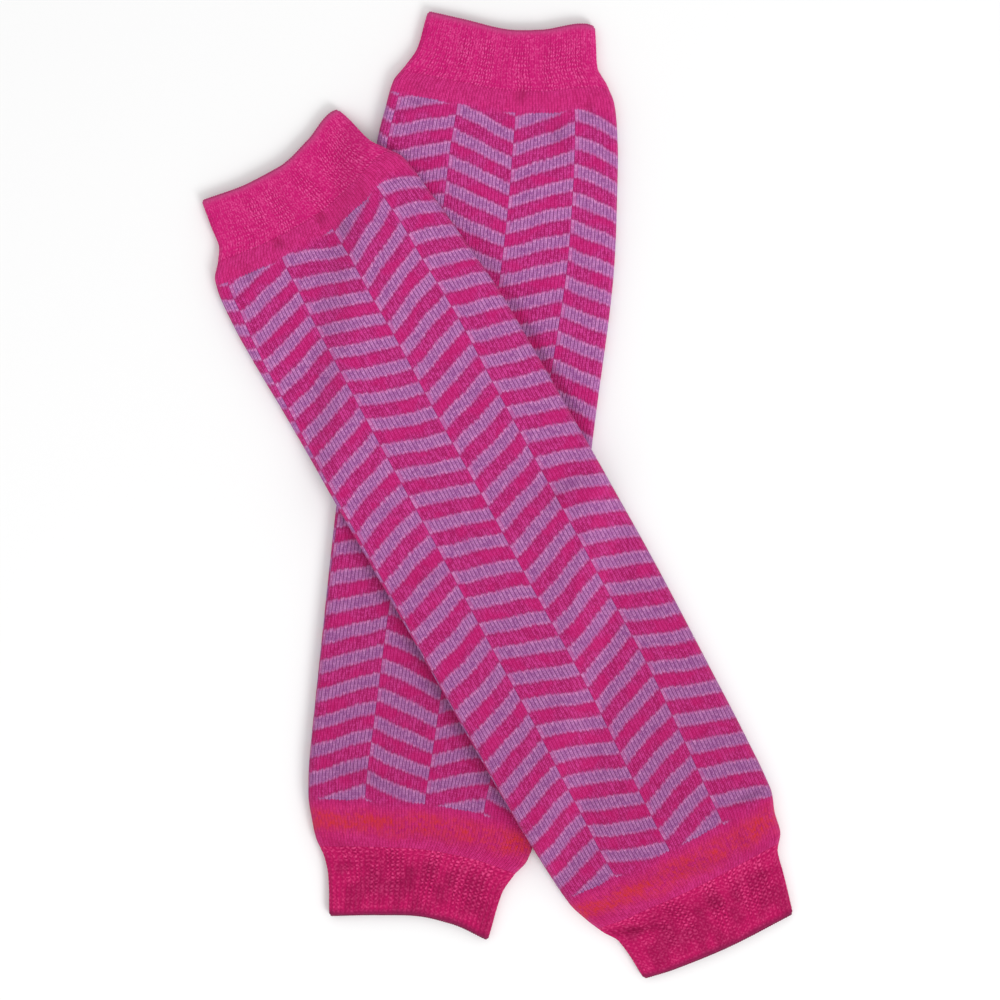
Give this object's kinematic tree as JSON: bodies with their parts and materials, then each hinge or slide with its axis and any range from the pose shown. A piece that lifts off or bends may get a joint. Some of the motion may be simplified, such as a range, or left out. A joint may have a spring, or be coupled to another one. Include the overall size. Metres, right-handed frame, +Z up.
{
  "type": "pair of leg warmers",
  "caption": "Pair of knitted leg warmers laid flat and crossed: ribbed pink cuffs, legs in a broken herringbone of pink and lilac.",
  "frame": {"origin": "on the surface the pair lies on, under the middle of its outline", "axes": "+Z up; +Y towards the top cuffs, along the length of the outline; +X to the right, seen from above"},
  "size_m": [0.2026, 0.3306, 0.0119],
  "materials": {
    "over_cuffs": "rib knit, matt, in one pink yarn",
    "over_leg": "two-colour stocking stitch, matt, pink and lilac broken herringbone",
    "under_cuffs": "rib knit, matt, in one pink yarn",
    "under_leg": "two-colour stocking stitch, matt, pink and lilac broken herringbone"
  },
  "bodies": {
    "root": {"over_top_cuff": "over_cuffs", "over_leg": "over_leg", "over_ankle_cuff": "over_cuffs", "under_top_cuff": "under_cuffs", "under_leg": "under_leg", "under_ankle_cuff": "under_cuffs"}
  },
  "joints": []
}
